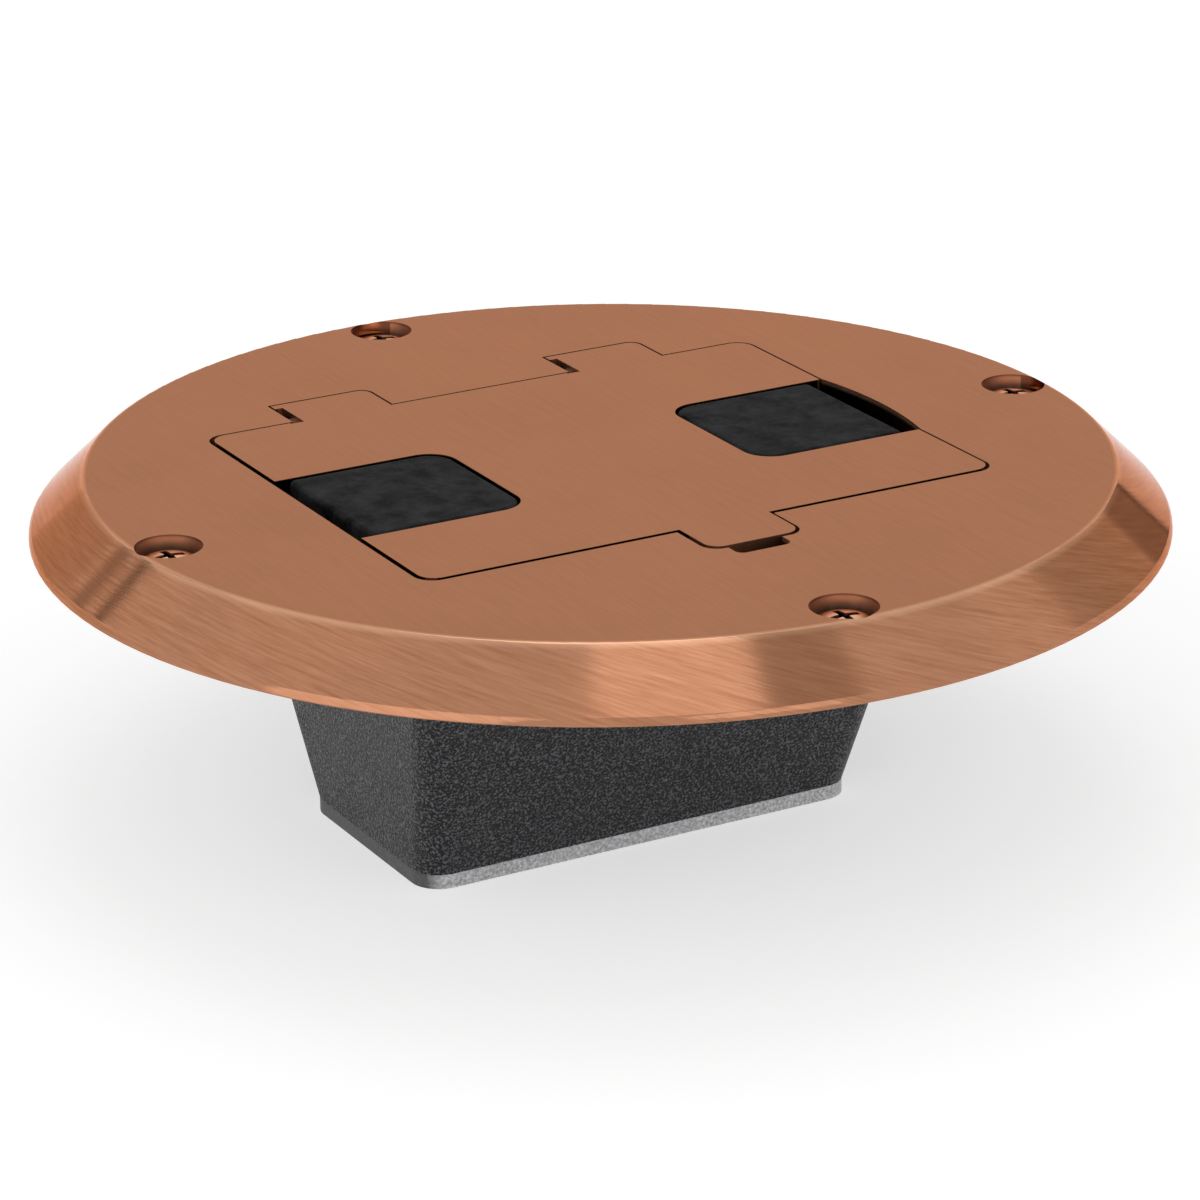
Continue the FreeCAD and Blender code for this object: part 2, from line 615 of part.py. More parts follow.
DEV_SCREWS = [(sx * DEV_SCREW_X, DEV_Y + sy * DEV_SCREW_Y) for sx in (-1, 1) for sy in (-1, 1)]
base_x = BOT_X - BASE_SCREW_INSET_X
BASE_SCREWS = []
for y in (BOT_Y0 + BASE_SCREW_INSET_Y, BOT_Y1 - BASE_SCREW_INSET_Y):
    BASE_SCREWS.append((-base_x, y))
    BASE_SCREWS.append((base_x, y))
posts = [cyl(DEV_POST_R, x, y, DEV_BOT - DEV_POST_H, DEV_BOT).common(outer) for x, y in DEV_SCREWS]
# A web ties each device post to the side wall beside it.
for x, y in DEV_SCREWS:
    xs = sorted((x, math.copysign(TOP_X, x)))
    web = DEV_POST_R * 0.6
    posts.append(box(xs[0], xs[1], y - web, y + web, DEV_BOT - DEV_POST_H, DEV_BOT).common(outer))
for x, y in BASE_SCREWS:
    posts.append(cyl(POST_R, x, y, SHELL_BOT, SHELL_BOT + POST_H).common(outer))
    xs = sorted((x, math.copysign(BOT_X, x)))
    web = POST_R * 0.55
    posts.append(box(xs[0], xs[1], y - web, y + web, SHELL_BOT, SHELL_BOT + POST_H).common(outer))
shell = union([shell] + posts)
shell = shell.cut(cyl_y(ENTRY_R, ENTRY_X, ENTRY_Z, ENTRY_FACE_Y - ENTRY_ROOT - OVER, ENTRY_FACE_Y + OVER))
for x, y in DEV_SCREWS:
    shell = shell.cut(cyl(DEV_SCREW_R + THREAD_CLEAR, x, y, DEV_BOT - DEV_SCREW_L, DEV_BOT + OVER))
for x, y in BASE_SCREWS:
    shell = shell.cut(cyl(BASE_SCREW_R + THREAD_CLEAR, x, y, SHELL_BOT - OVER, SHELL_BOT + POST_H - 0.5))
for x, y in SHELL_SCREWS:
    shell = shell.cut(cyl(SHELL_SCREW_R + THREAD_CLEAR, x, y, SHELL_TOP - LIP_T - OVER, 0.0))
export("box_shell", shell)
screws = []
for x, y in SHELL_SCREWS:
    screws.append(flat_screw(x, y, RING_TOP, SHELL_HEAD_R, SHELL_SCREW_R, SHELL_SCREW_L, -1))
export("shell_screws", Part.makeCompound(screws))

# ---- base plate with its screws
base = rounded_block(-BOT_X, BOT_X, BOT_Y0, BOT_Y1, BASE_CORNER_R, SHELL_BOT - BASE_T, SHELL_BOT)
sink = BASE_HEAD_R - BASE_SCREW_R
for x, y in BASE_SCREWS:
    seat = V(x, y, SHELL_BOT - BASE_T)
    base = base.cut(cyl(BASE_SCREW_R + THREAD_CLEAR, x, y, -FAR, 0.0))
    base = base.cut(Part.makeCone(BASE_HEAD_R + SEAT_GAP, BASE_SCREW_R + SEAT_GAP, sink, seat, V(0, 0, 1)))
export("base_plate", base)
reach = BASE_T + POST_H - 0.9
screws = [flat_screw(x, y, SHELL_BOT - BASE_T, BASE_HEAD_R, BASE_SCREW_R, reach, 1) for x, y in BASE_SCREWS]
export("base_screws", Part.makeCompound(screws))

# ---- cable bushing in the rear entry
bush = cyl_y(BUSH_HEAD_R, ENTRY_X, ENTRY_Z, ENTRY_FACE_Y, ENTRY_FACE_Y + BUSH_HEAD_T)
bush = union([bush, cyl_y(ENTRY_R - SEAT_GAP, ENTRY_X, ENTRY_Z, ENTRY_FACE_Y - BUSH_L, ENTRY_FACE_Y)])
bore_y0 = ENTRY_FACE_Y - BUSH_L - OVER
bore_y1 = ENTRY_FACE_Y + BUSH_HEAD_T + OVER
bush = bush.cut(cyl_y(BUSH_BORE_R, ENTRY_X, ENTRY_Z, bore_y0, bore_y1))
export("cable_bushing", bush)

# ---- device plate with the two outlet windows
def outlet(x, r, half, z0, z1):
    disc = cyl(r, x, DEV_Y, z0, z1)
    return disc.common(box(x - half, x + half, -FAR, FAR, z0, z1))


deck = rounded_block(-DEV_X, DEV_X, DEV_Y - DEV_HALF_Y, DEV_Y + DEV_HALF_Y, DEV_CORNER_R, DEV_BOT, DEV_TOP)
for x in (-OUTLET_X, OUTLET_X):
    deck = deck.cut(outlet(x, OUTLET_R + SCREW_CLEAR, OUTLET_HALF + SCREW_CLEAR, -FAR, 0.0))
deck = deck.cut(cyl(CENTRE_SCREW_R + FIT_STEP, 0, DEV_Y, -FAR, 0.0))
for x, y in DEV_SCREWS:
    deck = deck.cut(cyl(DEV_SCREW_R + SCREW_CLEAR, x, y, -FAR, 0.0))
export("device_plate", deck)
screws = []
for x, y in DEV_SCREWS:
    screws.append(pan_screw(x, y, DEV_TOP, DEV_HEAD_R, DEV_HEAD_H, DEV_SCREW_R, DEV_SCREW_L))
export("device_plate_screws", Part.makeCompound(screws))

# ---- receptacle face: flange plate with two raised outlets, blade slots and ground holes
FACE_BOT = DEV_BOT - FACE_T
face = rounded_block(-BODY_X, BODY_X, DEV_Y - BODY_Y, DEV_Y + BODY_Y, BODY_CORNER_R, FACE_BOT, DEV_BOT)
rises = [outlet(x, OUTLET_R, OUTLET_HALF, FACE_BOT, DEV_BOT + OUTLET_RISE) for x in (-OUTLET_X, OUTLET_X)]
rises = [r.common(box(-FAR, FAR, DEV_Y - BODY_Y, DEV_Y + BODY_Y, -FAR, 0.0)) for r in rises]
face = union([face] + rises)
SLOTS = []
for x in (-OUTLET_X, OUTLET_X):
    for y in (-BLADE_Y, BLADE_Y):
        SLOTS.append((x - BLADE_DX, DEV_Y + y))
for x, y in SLOTS:
    long = BLADE_L / 2.0
    wide = BLADE_W / 2.0
    face = face.cut(box(x - long, x + long, y - wide, y + wide, -FAR, 0.0))
for x in (-OUTLET_X, OUTLET_X):
    face = face.cut(cyl(GROUND_R, x + GROUND_DX, DEV_Y, -FAR, 0.0))
face = face.cut(cyl(CENTRE_SCREW_R + FIT_STEP, 0, DEV_Y, -FAR, 0.0))
export("receptacle_face", face)

# ---- receptacle body: tray with a centre column, side windows for the terminals
BODY_BOT = FACE_BOT - BODY_H
BODY_FLOOR = BODY_BOT + BODY_WALL
body = rounded_block(-BODY_X, BODY_X, DEV_Y - BODY_Y, DEV_Y + BODY_Y, BODY_CORNER_R, BODY_BOT, FACE_BOT)
cavity = box(
    -BODY_X + BODY_WALL, BODY_X - BODY_WALL, DEV_Y - BODY_Y + BODY_WALL, DEV_Y + BODY_Y - BODY_WALL,
    BODY_FLOOR, FACE_BOT + OVER,
)
column = box(-COLUMN_HALF, COLUMN_HALF, DEV_Y - COLUMN_HALF, DEV_Y + COLUMN_HALF, BODY_BOT, FACE_BOT)
body = union([body.cut(cavity), column])
body = body.cut(cyl(CENTRE_SCREW_R + FIT_STEP, 0, DEV_Y, -FAR, 0.0))
TAB_Z0 = BODY_FLOOR + STRIP_T
TAB_Z1 = TAB_Z0 + TAB_H
window = TAB_X + TAB_HALF + LID_GAP
for y_side in (-1, 1):
    ys = sorted((DEV_Y + y_side * (BODY_Y - BODY_WALL - OVER), DEV_Y + y_side * (BODY_Y + OVER)))
    body = body.cut(box(-window, window, ys[0], ys[1], TAB_Z0 - FIT_STEP, TAB_Z1 + FIT_STEP))
for x in (-OUTLET_X, OUTLET_X):
    body = body.cut(cyl(TUBE_R + SCREW_CLEAR, x + GROUND_DX, DEV_Y, BODY_BOT - OVER, BODY_FLOOR + OVER))
GROUND_SCREW_Z = FACE_BOT - TERM_HEAD_R - 1.3
TAB_FACE_X = BODY_X + STRAP_T + SEAT_GAP * 2.0
body = body.cut(cyl_x(TERM_R + 0.5, DEV_Y, GROUND_SCREW_Z, -BODY_X - OVER, -BODY_X + BODY_WALL + OVER))
export("receptacle_body", body)


# ---- contact strips: a rail with a pair of leaves under each slot, and a tab out to the terminal screws
def contacts(y_side):
    y = DEV_Y + y_side * BLADE_Y
    rail_x = OUTLET_X + BLADE_DX + LEAF_L / 2.0
    parts = [box(-rail_x, rail_x, y - RAIL_HALF, y + RAIL_HALF, TAB_Z0, TAB_Z0 + STRIP_T)]
    leaf_top = FACE_BOT - STRIP_T
    for x in (-OUTLET_X, OUTLET_X):
        x0 = x - BLADE_DX - LEAF_L / 2.0
        x1 = x - BLADE_DX + LEAF_L / 2.0
        parts.append(box(x0, x1, y - LEAF_GAP - STRIP_T, y - LEAF_GAP, TAB_Z0, leaf_top))
        parts.append(box(x0, x1, y + LEAF_GAP, y + LEAF_GAP + STRIP_T, TAB_Z0, leaf_top))
    side_y = DEV_Y + y_side * (BODY_Y - BODY_WALL / 2.0)
    ys = sorted((y, side_y))
    parts.append(box(-TAB_X - TAB_HALF, TAB_X + TAB_HALF, ys[0], ys[1], TAB_Z0, TAB_Z0 + STRIP_T))
    tab = sorted((side_y, side_y + y_side * STRIP_T))
    parts.append(box(-TAB_X - TAB_HALF, TAB_X + TAB_HALF, tab[0], tab[1], TAB_Z0, TAB_Z1))
    strip = union(parts)
    for x in (-TAB_X, TAB_X):
        hole = cyl_y(TERM_R + THREAD_CLEAR, x, TAB_Z0 + TAB_HALF, side_y - BODY_WALL, side_y + BODY_WALL)
        strip = strip.cut(hole)
    return strip


def terminal_screws(y_side):
    side_y = DEV_Y + y_side * (BODY_Y - BODY_WALL / 2.0)
    seat_y = side_y + y_side * (STRIP_T + FIT_STEP)
    z = TAB_Z0 + TAB_HALF
    shapes = []
    for x in (-TAB_X, TAB_X):
        shank = sorted((side_y - y_side * BODY_WALL, seat_y))
        head = sorted((seat_y, seat_y + y_side * TERM_HEAD_H))
        screw = cyl_y(TERM_R, x, z, shank[0], shank[1])
        screw = screw.fuse(cyl_y(TERM_HEAD_R, x, z, head[0], head[1])).removeSplitter()
        slot = sorted((seat_y + y_side * TERM_HEAD_H / 2.0, seat_y + y_side * (TERM_HEAD_H + OVER)))
        half = TERM_SLOT / 2.0
        run = TERM_HEAD_R + OVER
        screw = screw.cut(box(x - run, x + run, slot[0], slot[1], z - half, z + half))
        shapes.append(screw)
    return Part.makeCompound(shapes)


export("line_contacts", contacts(-1))
export("neutral_contacts", contacts(1))
export("line_screws", terminal_screws(-1))
export("neutral_screws", terminal_screws(1))

# ---- ground strap behind the body: a tube contact under each ground hole and a tab for the ground screw
strap_end = OUTLET_X + GROUND_DX + STRAP_HALF
strap = box(-TAB_FACE_X, strap_end, DEV_Y - STRAP_HALF, DEV_Y + STRAP_HALF, BODY_BOT - STRAP_T, BODY_BOT)
end = box(
    -TAB_FACE_X, -BODY_X - SEAT_GAP * 2.0, DEV_Y - STRAP_HALF, DEV_Y + STRAP_HALF,
    BODY_BOT - STRAP_T, GROUND_SCREW_Z + TERM_HEAD_R + 0.7,
)
tubes = []
for x in (-OUTLET_X, OUTLET_X):
    tubes.append(cyl(TUBE_R, x + GROUND_DX, DEV_Y, BODY_BOT - STRAP_T, FACE_BOT - STRAP_T * 2.0))
strap = union([strap, end] + tubes)
for x in (-OUTLET_X, OUTLET_X):
    strap = strap.cut(cyl(TUBE_BORE_R, x + GROUND_DX, DEV_Y, BODY_BOT, 0.0))
strap = strap.cut(cyl(CENTRE_SCREW_R + THREAD_CLEAR, 0, DEV_Y, -FAR, 0.0))
strap = strap.cut(cyl_x(TERM_R + THREAD_CLEAR, DEV_Y, GROUND_SCREW_Z, -TAB_FACE_X - OVER, -BODY_X))
export("ground_strap", strap)
seat_x = -TAB_FACE_X - FIT_STEP
crown_x = seat_x - TERM_HEAD_H * 0.85
green = cyl_x(TERM_R, DEV_Y, GROUND_SCREW_Z, seat_x, -BODY_X + STRAP_T)
green = green.fuse(cyl_x(TERM_HEAD_R, DEV_Y, GROUND_SCREW_Z, crown_x, seat_x)).removeSplitter()
half = TERM_SLOT / 2.0
green = green.cut(box(
    crown_x - OVER, crown_x + TERM_HEAD_H / 2.0, -FAR, FAR, GROUND_SCREW_Z - half, GROUND_SCREW_Z + half,
))
export("ground_screw", green)
reach = DEV_TOP - BODY_BOT + STRAP_T
centre = pan_screw(0, DEV_Y, DEV_TOP, CENTRE_HEAD_R, CENTRE_HEAD_H, CENTRE_SCREW_R, reach)
export("centre_screw", centre)
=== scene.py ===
import bpy
import math
from mathutils import Matrix, Vector


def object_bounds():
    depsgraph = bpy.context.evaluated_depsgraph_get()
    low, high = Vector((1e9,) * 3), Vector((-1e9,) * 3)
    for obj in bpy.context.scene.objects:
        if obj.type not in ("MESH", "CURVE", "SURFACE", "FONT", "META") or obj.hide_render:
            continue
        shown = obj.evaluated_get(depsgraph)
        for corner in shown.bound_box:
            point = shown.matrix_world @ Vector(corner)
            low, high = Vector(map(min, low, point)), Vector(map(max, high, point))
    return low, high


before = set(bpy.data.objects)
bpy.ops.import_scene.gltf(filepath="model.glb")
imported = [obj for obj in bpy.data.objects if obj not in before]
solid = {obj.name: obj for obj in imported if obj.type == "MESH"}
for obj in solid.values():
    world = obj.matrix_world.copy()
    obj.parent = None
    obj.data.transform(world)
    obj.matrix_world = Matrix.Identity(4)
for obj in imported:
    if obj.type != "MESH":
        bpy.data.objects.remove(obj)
cad_low, cad_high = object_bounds()

# ---- Studio: a pale floor, soft white surroundings, four soft lamps and a few grey cards for the metal.
# The floor is white card, a matt sheet that keeps the object's shadow. Floor and surroundings are brighter to
# the camera and in reflections than they are as light on matt surfaces, so the ground stays near white.
MM = 0.001
FLOOR_RADIUS = 4.0
FLOOR_GAP = 0.2 * MM
FLOOR_GLOW = 0.5
LIGHT_LEVEL, SEEN_LEVEL = 0.75, 1.0
WHITE = (1.0, 1.0, 1.0, 1.0)


def linear(code):
    """A colour as the shaders want it, from its sRGB hex code."""
    channels = [int(code[i:i + 2], 16) / 255.0 for i in (1, 3, 5)]
    made = [c / 12.92 if c <= 0.04045 else ((c + 0.055) / 1.055) ** 2.4 for c in channels]
    return (made[0], made[1], made[2], 1.0)


def add(tree, kind, sockets=None, stops=(), **settings):
    """Add a node with its settings, the stops of its colour ramp, and a value or a link for each socket."""
    made = tree.nodes.new(kind)
    for name, value in settings.items():
        setattr(made, name, value)
    for number, (position, code) in enumerate(stops):
        made.color_ramp.elements[number].position = position
        made.color_ramp.elements[number].color = linear(code)
    for name, value in (sockets or {}).items():
        if isinstance(value, bpy.types.NodeSocket):
            tree.links.new(value, made.inputs[name])
        else:
            made.inputs[name].default_value = value
    return made


def seen_directly(tree):
    """One for rays from the camera, a reflection or glass, and nought for light on matt surfaces."""
    ray = add(tree, "ShaderNodeLightPath")
    mirrored = add(tree, "ShaderNodeMath", {
        0: ray.outputs["Is Camera Ray"], 1: ray.outputs["Is Glossy Ray"],
    }, operation="MAXIMUM")
    shown = add(tree, "ShaderNodeMath", {
        0: mirrored.outputs[0], 1: ray.outputs["Is Transmission Ray"],
    }, operation="MAXIMUM")
    return shown.outputs[0]


bpy.context.scene.view_settings.view_transform = "Standard"
bpy.ops.mesh.primitive_circle_add(
    vertices=96, radius=FLOOR_RADIUS, fill_type="NGON", location=(0, 0, cad_low.z - FLOOR_GAP),
)
floor = bpy.context.object
floor.name = "white_card_floor"
white_card = bpy.data.materials.new("matt_white_card")
white_card.use_nodes = True
tree = white_card.node_tree
tree.nodes.clear()
sheet = add(tree, "ShaderNodeBsdfDiffuse", {"Color": linear("#CFCFCF"), "Roughness": 0.6})
lift = add(tree, "ShaderNodeMath", {0: seen_directly(tree), 1: FLOOR_GLOW}, operation="MULTIPLY")
glow = add(tree, "ShaderNodeEmission", {"Color": WHITE, "Strength": lift.outputs[0]})
both = add(tree, "ShaderNodeAddShader", {0: sheet.outputs[0], 1: glow.outputs[0]})
add(tree, "ShaderNodeOutputMaterial", {"Surface": both.outputs[0]})
floor.data.materials.append(white_card)

world = bpy.data.worlds.new("white_studio")
bpy.context.scene.world = world
world.use_nodes = True
tree = world.node_tree
tree.nodes.clear()
level = add(tree, "ShaderNodeMapRange", {
    "Value": seen_directly(tree), "To Min": LIGHT_LEVEL, "To Max": SEEN_LEVEL,
})
air = add(tree, "ShaderNodeBackground", {"Color": WHITE, "Strength": level.outputs[0]})
add(tree, "ShaderNodeOutputWorld", {"Surface": air.outputs[0]})

# Each lamp has its place and width in metres, and its power in watts. All of them point at the cover.
LAMPS = (
    ("overhead_lamp", (0.00, 0.10, 1.30), 0.7, 1.5),
    ("soft_box", (-0.03, -0.47, 1.21), 0.5, 0.4),
    ("front_lamp", (0.05, -1.15, 0.60), 0.6, 0.6),
    ("window_lamp", (-1.10, -0.40, 0.42), 1.1, 2.5),
)
for name, place, size, power in LAMPS:
    lamp = bpy.data.lights.new(name, "AREA")
    lamp.size = size
    lamp.energy = power
    holder = bpy.data.objects.new(name, lamp)
    holder.location = place
    holder.rotation_euler = (-Vector(place)).to_track_quat("-Z", "Y").to_euler()
    bpy.context.collection.objects.link(holder)

# Grey cards and dark stands round the set, seen only in reflections. Each has its heading, height, width and
# depth in degrees as seen from the cover, and its brightness beside the white surroundings.
CARD_REACH = 2.5
CARD_GREY = (1.0, 0.97, 0.92, 1.0)
CARDS = (
    ("left_stand", 118.5, 29.0, 1.8, 30.0, 0.10),
    ("left_foot", 113.0, 22.0, 3.0, 16.0, 0.45),
    ("left_card", 100.0, 11.0, 18.0, 18.0, 0.76),
    ("right_stand", 29.0, 7.0, 1.6, 22.0, 0.02),
    ("right_card", 23.5, 9.0, 9.0, 16.0, 0.40),
    ("side_card", 8.0, 24.0, 20.0, 26.0, 0.68),
    ("top_card", -56.0, 62.0, 12.0, 24.0, 0.66),
)


def breadth(angle):
    """How wide a card is that takes up this angle, in degrees, as seen from the cover."""
    return 2 * CARD_REACH * math.tan(math.radians(angle / 2))


for name, heading, height, wide, deep, shade in CARDS:
    turned = Matrix.Rotation(math.radians(heading), 4, "Z")
    raised = Matrix.Rotation(math.radians(-height), 4, "Y")
    place = turned @ raised @ Vector((CARD_REACH, 0.0, 0.0))
    bpy.ops.mesh.primitive_plane_add(size=1.0, location=place)
    flag = bpy.context.object
    flag.name = name
    flag.rotation_euler = place.to_track_quat("Z", "Y").to_euler()
    flag.scale = (breadth(wide), breadth(deep), 1.0)
    flag.visible_camera = False
    flag.visible_diffuse = False
    flag.visible_shadow = False
    flag.visible_transmission = False
    cloth = bpy.data.materials.new(name + "_cloth")
    cloth.use_nodes = True
    cloth.node_tree.nodes.clear()
    felt = add(cloth.node_tree, "ShaderNodeEmission", {"Color": CARD_GREY, "Strength": shade})
    add(cloth.node_tree, "ShaderNodeOutputMaterial", {"Surface": felt.outputs[0]})
    flag.data.materials.append(cloth)

# The camera looks from the front left and from above, through a long lens, so that the round cover keeps its
# true ellipse. Its turns are in radians. Its distance, and its drop across the view, are in radii of the rim.
AZIMUTH, ELEVATION, ROLL = -0.51087, 0.36254, -0.00832
DISTANCE = 8.1645
DROP = 0.2536
rim = cad_high.x
back = Vector((
    math.sin(AZIMUTH) * math.cos(ELEVATION),
    -math.cos(AZIMUTH) * math.cos(ELEVATION),
    math.sin(ELEVATION),
))
right = Vector((math.cos(AZIMUTH), math.sin(AZIMUTH), 0.0))
up = right.cross(-back)
side = right * math.cos(ROLL) + up * math.sin(ROLL)
top = up * math.cos(ROLL) - right * math.sin(ROLL)
lens = bpy.data.cameras.new("long_lens")
lens.sensor_width = 36.0
lens.lens = 139.86
lens.clip_start = 0.01
lens.clip_end = 20.0
camera = bpy.data.objects.new("long_lens", lens)
spot = Vector((0.0, 0.0, cad_high.z)) + back * (DISTANCE * rim) - top * (DROP * rim)
turn = Matrix((side, top, back)).transposed().to_4x4()
camera.matrix_world = Matrix.Translation(spot) @ turn
bpy.context.collection.objects.link(camera)
bpy.context.scene.camera = camera


# ---- Box: the tapered well that sits in the floor, die-cast zinc with a black textured powder coat.
# The coat is baked on in small hard grains, so it looks matt and speckled where light rakes over it. Its
# reflections are at half their usual strength, to keep it as dark as it looks.
def finish(name, sockets):
    """A new material with one shader: the material, its nodes and the shader."""
    made = bpy.data.materials.new(name)
    made.use_nodes = True
    made.node_tree.nodes.clear()
    shader = add(made.node_tree, "ShaderNodeBsdfPrincipled", sockets)
    add(made.node_tree, "ShaderNodeOutputMaterial", {"Surface": shader.outputs["BSDF"]})
    return made, made.node_tree, shader


def dress(made, *names):
    """Give a material to every slot of these pieces."""
    for name in names:
        for holder in solid[name].material_slots:
            holder.material = made


def repeat(size):
    """The scale of a pattern whose grains are this many millimetres wide."""
    return 1 / (size * MM)


coat, tree, shader = finish("black_powder_coat", {"IOR": 1.5, "Specular IOR Level": 0.25})
place = add(tree, "ShaderNodeTexCoord").outputs["Object"]
grit = add(tree, "ShaderNodeTexNoise", {
    "Vector": place, "Scale": repeat(0.40), "Detail": 1.0, "Roughness": 0.6,
})
cloud = add(tree, "ShaderNodeTexNoise", {"Vector": place, "Scale": repeat(14), "Detail": 2.0})
speck = add(tree, "ShaderNodeValToRGB", {"Fac": grit.outputs["Fac"]}, stops=(
    (0.48, "#0A0A0C"),
    (0.68, "#747478"),
))
rough = add(tree, "ShaderNodeMapRange", {"Value": cloud.outputs["Fac"], "To Min": 0.35, "To Max": 0.5})
relief = add(tree, "ShaderNodeBump", {"Height": grit.outputs["Fac"], "Strength": 1.0, "Distance": 0.3 * MM})
tree.links.new(speck.outputs["Color"], shader.inputs["Base Color"])
tree.links.new(rough.outputs["Result"], shader.inputs["Roughness"])
tree.links.new(relief.outputs["Normal"], shader.inputs["Normal"])
dress(coat, "box_shell")

# ---- Base plate: the bare die-cast zinc closing plate under the box, held by four countersunk screws.
# Cast zinc is pale grey and slightly grainy, with a dull shine. Its left-facing sides are painted dark grey,
# a painted shade for the darker surroundings that side reflects.
COLOUR_1, COLOUR_2, BLEND = 6, 7, 2  # where a mix node takes its two colours, and where it gives the result
zinc, tree, shader = finish("bare_cast_zinc", {"Metallic": 0.6})
place = add(tree, "ShaderNodeTexCoord").outputs["Object"]
grit = add(tree, "ShaderNodeTexNoise", {
    "Vector": place, "Scale": repeat(0.5), "Detail": 3.0, "Roughness": 0.7,
})
tone = add(tree, "ShaderNodeValToRGB", {"Fac": grit.outputs["Fac"]}, stops=(
    (0.3, "#88888A"),
    (0.7, "#E6E6E8"),
))
rough = add(tree, "ShaderNodeMapRange", {"Value": grit.outputs["Fac"], "To Min": 0.4, "To Max": 0.6})
relief = add(tree, "ShaderNodeBump", {"Height": grit.outputs["Fac"], "Strength": 0.4, "Distance": 0.05 * MM})
normal = add(tree, "ShaderNodeNewGeometry").outputs["Normal"]
facing = add(tree, "ShaderNodeSeparateXYZ", {"Vector": normal})
faces_left = add(tree, "ShaderNodeMapRange", {
    "Value": facing.outputs["X"], "From Min": -0.4, "From Max": -0.8, "To Max": 0.85,
})
# Painted shade: faces turned to the left are mixed toward dark grey.
painted_left_shade = add(tree, "ShaderNodeMix", {
    0: faces_left.outputs[0], COLOUR_1: tone.outputs["Color"], COLOUR_2: linear("#3A3A3C"),
}, data_type="RGBA")
tree.links.new(painted_left_shade.outputs[BLEND], shader.inputs["Base Color"])
tree.links.new(rough.outputs["Result"], shader.inputs["Roughness"])
tree.links.new(relief.outputs["Normal"], shader.inputs["Normal"])
dress(zinc, "base_plate")


# ---- Zinc-plated steel: the mounting ring, the device plate, the pin keeper and the small screws.
# Bright zinc plate is bluish silver, with soft clouds where it passivated unevenly.
def mottled(name, sockets, grain, dark, pale, rough):
    """A finish that a noise clouds between two tones.

    grain is the noise's size in millimetres, its detail and its harshness. dark and pale each hold the
    noise's value where that tone is reached, and the tone. rough is the surface's roughness at 0 and at 1.
    """
    made, tree, shader = finish(name, sockets)
    size, detail, harshness = grain
    cloud = add(tree, "ShaderNodeTexNoise", {
        "Vector": add(tree, "ShaderNodeTexCoord").outputs["Object"],
        "Scale": repeat(size), "Detail": detail, "Roughness": harshness,
    })
    tone = add(tree, "ShaderNodeValToRGB", {"Fac": cloud.outputs["Fac"]}, stops=(dark, pale))
    dulled = add(tree, "ShaderNodeMapRange", {
        "Value": cloud.outputs["Fac"], "To Min": rough[0], "To Max": rough[1],
    })
    tree.links.new(tone.outputs["Color"], shader.inputs["Base Color"])
    tree.links.new(dulled.outputs["Result"], shader.inputs["Roughness"])
    return made


plate = mottled(
    "zinc_plated_steel", {"Metallic": 1.0}, grain=(6, 4.0, 0.6),
    dark=(0.3, "#A9ABAE"), pale=(0.7, "#C9CBCC"), rough=(0.28, 0.45),
)
dress(plate, "mounting_ring", "device_plate", "pin_keeper", "base_screws", "shell_screws", "keeper_screws")
dress(plate, "device_plate_screws", "neutral_screws", "centre_screw")

# ---- Hinge pin: a centreless-ground steel rod that the lid's knuckles turn on.
# Grinding leaves fine rings round the rod.
rod, tree, shader = finish("ground_steel_rod", {"Metallic": 1.0, "Base Color": linear("#A5A5A6")})
place = add(tree, "ShaderNodeTexCoord").outputs["Object"]
rings = add(tree, "ShaderNodeMapping", {"Vector": place, "Scale": (repeat(0.25), repeat(8), repeat(8))})
lines = add(tree, "ShaderNodeTexNoise", {"Vector": rings.outputs[0], "Scale": 1.0, "Detail": 2.0})
rough = add(tree, "ShaderNodeMapRange", {"Value": lines.outputs["Fac"], "To Min": 0.18, "To Max": 0.4})
tree.links.new(rough.outputs["Result"], shader.inputs["Roughness"])
dress(rod, "hinge_pin")

# ---- Gaskets: die-cut neoprene sheet, one between the ring and the cover and one under the lid.
# Neoprene is dull black with a faint dusty bloom.
rubber, tree, shader = finish("neoprene_sheet", {"IOR": 1.45, "Roughness": 0.85})
place = add(tree, "ShaderNodeTexCoord").outputs["Object"]
bloom = add(tree, "ShaderNodeTexNoise", {
    "Vector": place, "Scale": repeat(3), "Detail": 4.0, "Roughness": 0.7,
})
tone = add(tree, "ShaderNodeValToRGB", {"Fac": bloom.outputs["Fac"]}, stops=(
    (0.35, "#161617"),
    (0.75, "#2B2B2C"),
))
tree.links.new(tone.outputs["Color"], shader.inputs["Base Color"])
dress(rubber, "box_gasket", "lid_gasket")

# ---- Cable bushing: a moulded black nylon ring that snaps into the box's rear entry.
# Nylon has a low sheen and a fine spark-eroded mould texture.
nylon, tree, shader = finish("moulded_black_nylon", {"IOR": 1.5, "Base Color": linear("#1E1E20")})
place = add(tree, "ShaderNodeTexCoord").outputs["Object"]
pores = add(tree, "ShaderNodeTexNoise", {"Vector": place, "Scale": repeat(0.4), "Detail": 2.0})
rough = add(tree, "ShaderNodeMapRange", {"Value": pores.outputs["Fac"], "To Min": 0.4, "To Max": 0.6})
relief = add(tree, "ShaderNodeBump", {"Height": pores.outputs["Fac"], "Strength": 0.3, "Distance": 0.03 * MM})
tree.links.new(rough.outputs["Result"], shader.inputs["Roughness"])
tree.links.new(relief.outputs["Normal"], shader.inputs["Normal"])
dress(nylon, "cable_bushing")

# ---- Receptacle face: the ivory nylon moulding with the blade slots and ground holes.
# It is smooth and slightly glossy, with faint flow marks from the mould.
dress(mottled(
    "moulded_ivory_nylon", {"IOR": 1.53}, grain=(9, 3.0, 0.5),
    dark=(0.3, "#DDD5BF"), pale=(0.7, "#E6DFCB"), rough=(0.28, 0.36),
), "receptacle_face")

